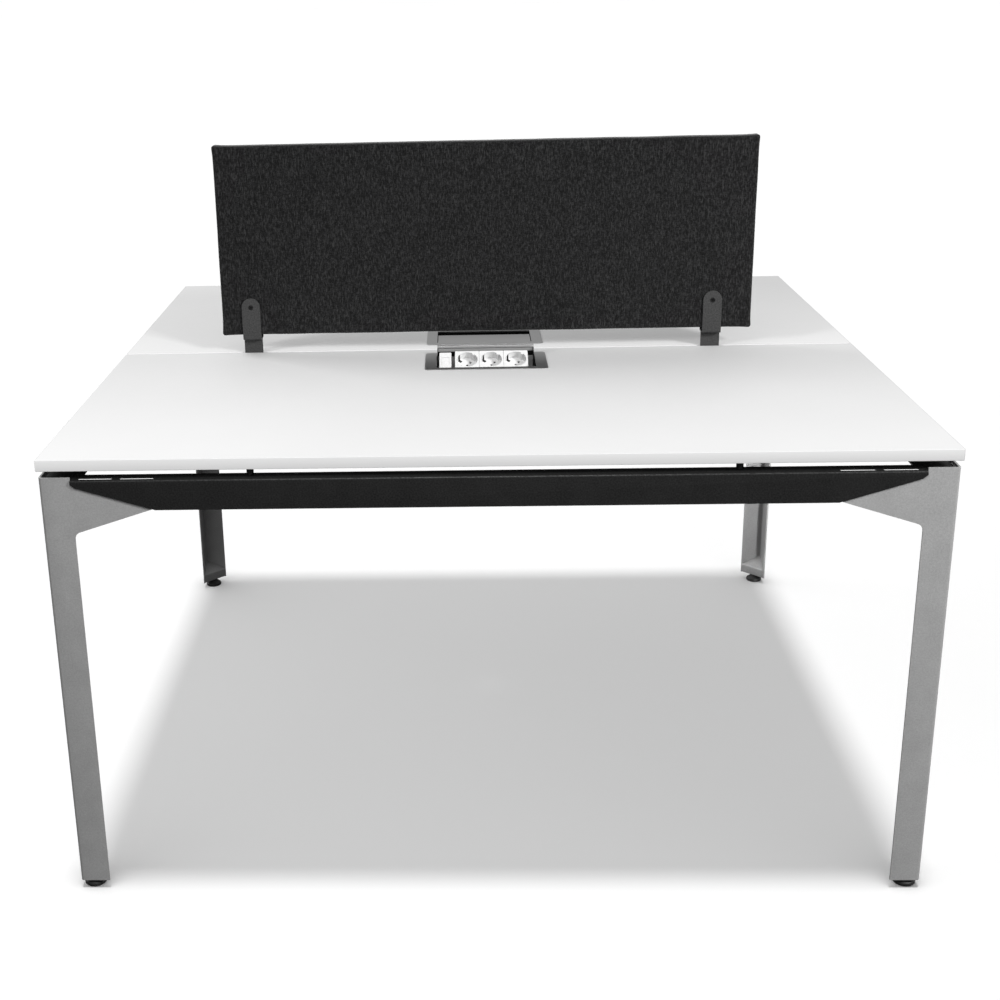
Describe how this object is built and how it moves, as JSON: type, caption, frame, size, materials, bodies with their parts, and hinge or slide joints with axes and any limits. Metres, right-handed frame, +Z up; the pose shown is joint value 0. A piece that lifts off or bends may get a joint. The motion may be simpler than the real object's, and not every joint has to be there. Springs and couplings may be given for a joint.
{
  "type": "benching desk for two",
  "caption": "Benching desk with facing white tops on a folded steel frame, a fabric screen over the seam and tilting power boxes let into the tops.",
  "frame": {"origin": "on the floor under the middle of the seam", "axes": "+X along the seam to the front user's right, +Y from the front user to the rear user, +Z up"},
  "size_m": [1.38, 1.306, 1.14],
  "materials": {
    "top_laminate": "white satin laminate on chipboard",
    "silver_coat": "silver-grey fine powder coat",
    "dark_coat": "anthracite powder coat",
    "strap_coat": "dark grey powder coat",
    "screen_fabric": "charcoal melange weave",
    "screen_board": "raw board",
    "aluminium": "satin anodised",
    "black_steel": "black powder coat",
    "white_plastic": "white moulded",
    "black_plastic": "black moulded",
    "zinc_steel": "zinc plated"
  },
  "bodies": {
    "desk": {"front_top": "top_laminate", "rear_top": "top_laminate", "leg_front_left": "silver_coat", "foot_bracket_front_left": "silver_coat", "leg_front_right": "silver_coat", "foot_bracket_front_right": "silver_coat", "leg_rear_right": "silver_coat", "foot_bracket_rear_right": "silver_coat", "leg_rear_left": "silver_coat", "foot_bracket_rear_left": "silver_coat", "front_beam": "dark_coat", "rear_beam": "dark_coat", "left_end_beam": "dark_coat", "right_end_beam": "dark_coat", "centre_trough": "dark_coat", "spacer_front_outer_left": "black_plastic", "spacer_front_inner_left": "black_plastic", "spacer_front_end_left": "black_plastic", "spacer_front_outer_right": "black_plastic", "spacer_front_inner_right": "black_plastic", "spacer_front_end_right": "black_plastic", "spacer_rear_outer_left": "black_plastic", "spacer_rear_inner_left": "black_plastic", "spacer_rear_end_left": "black_plastic", "spacer_rear_outer_right": "black_plastic", "spacer_rear_inner_right": "black_plastic", "spacer_rear_end_right": "black_plastic", "screen_core": "screen_board", "screen_cover": "screen_fabric", "strap_front_left": "strap_coat", "strap_rear_left": "strap_coat", "screen_bolt_left": "black_steel", "strap_front_right": "strap_coat", "strap_rear_right": "strap_coat", "screen_bolt_right": "black_steel", "front_bezel": "aluminium", "front_housing": "black_steel", "front_pivot_left": "zinc_steel", "front_pivot_right": "zinc_steel", "rear_bezel": "aluminium", "rear_housing": "black_steel", "rear_pivot_left": "zinc_steel", "rear_pivot_right": "zinc_steel"},
    "front_power_module": {"front_lid": "aluminium", "front_socket_carrier": "black_steel", "front_socket_1": "white_plastic", "front_socket_2": "white_plastic", "front_socket_3": "white_plastic", "front_data_module": "white_plastic"},
    "rear_power_module": {"rear_lid": "aluminium", "rear_socket_carrier": "black_steel", "rear_socket_1": "white_plastic", "rear_socket_2": "white_plastic", "rear_socket_3": "white_plastic", "rear_data_module": "white_plastic"},
    "foot_front_left": {"levelling_foot_front_left": "black_plastic"},
    "foot_front_right": {"levelling_foot_front_right": "black_plastic"},
    "foot_rear_right": {"levelling_foot_rear_right": "black_plastic"},
    "foot_rear_left": {"levelling_foot_rear_left": "black_plastic"}
  },
  "joints": [
    {"name": "front_power_tilt", "type": "hinge", "parent": "desk", "child": "front_power_module", "pos_m": [0, -0.0718, 0.7282], "axis": [1, 0, 0], "range_deg": [0, 90]},
    {"name": "rear_power_tilt", "type": "hinge", "parent": "desk", "child": "rear_power_module", "pos_m": [0, 0.0718, 0.7282], "axis": [1, 0, 0], "range_deg": [0, 90]},
    {"name": "front_left_foot_screw", "type": "slide", "parent": "desk", "child": "foot_front_left", "axis": [0, 0, -1], "range_m": [0, 0.01]},
    {"name": "front_right_foot_screw", "type": "slide", "parent": "desk", "child": "foot_front_right", "axis": [0, 0, -1], "range_m": [0, 0.01]},
    {"name": "rear_right_foot_screw", "type": "slide", "parent": "desk", "child": "foot_rear_right", "axis": [0, 0, -1], "range_m": [0, 0.01]},
    {"name": "rear_left_foot_screw", "type": "slide", "parent": "desk", "child": "foot_rear_left", "axis": [0, 0, -1], "range_m": [0, 0.01]}
  ]
}
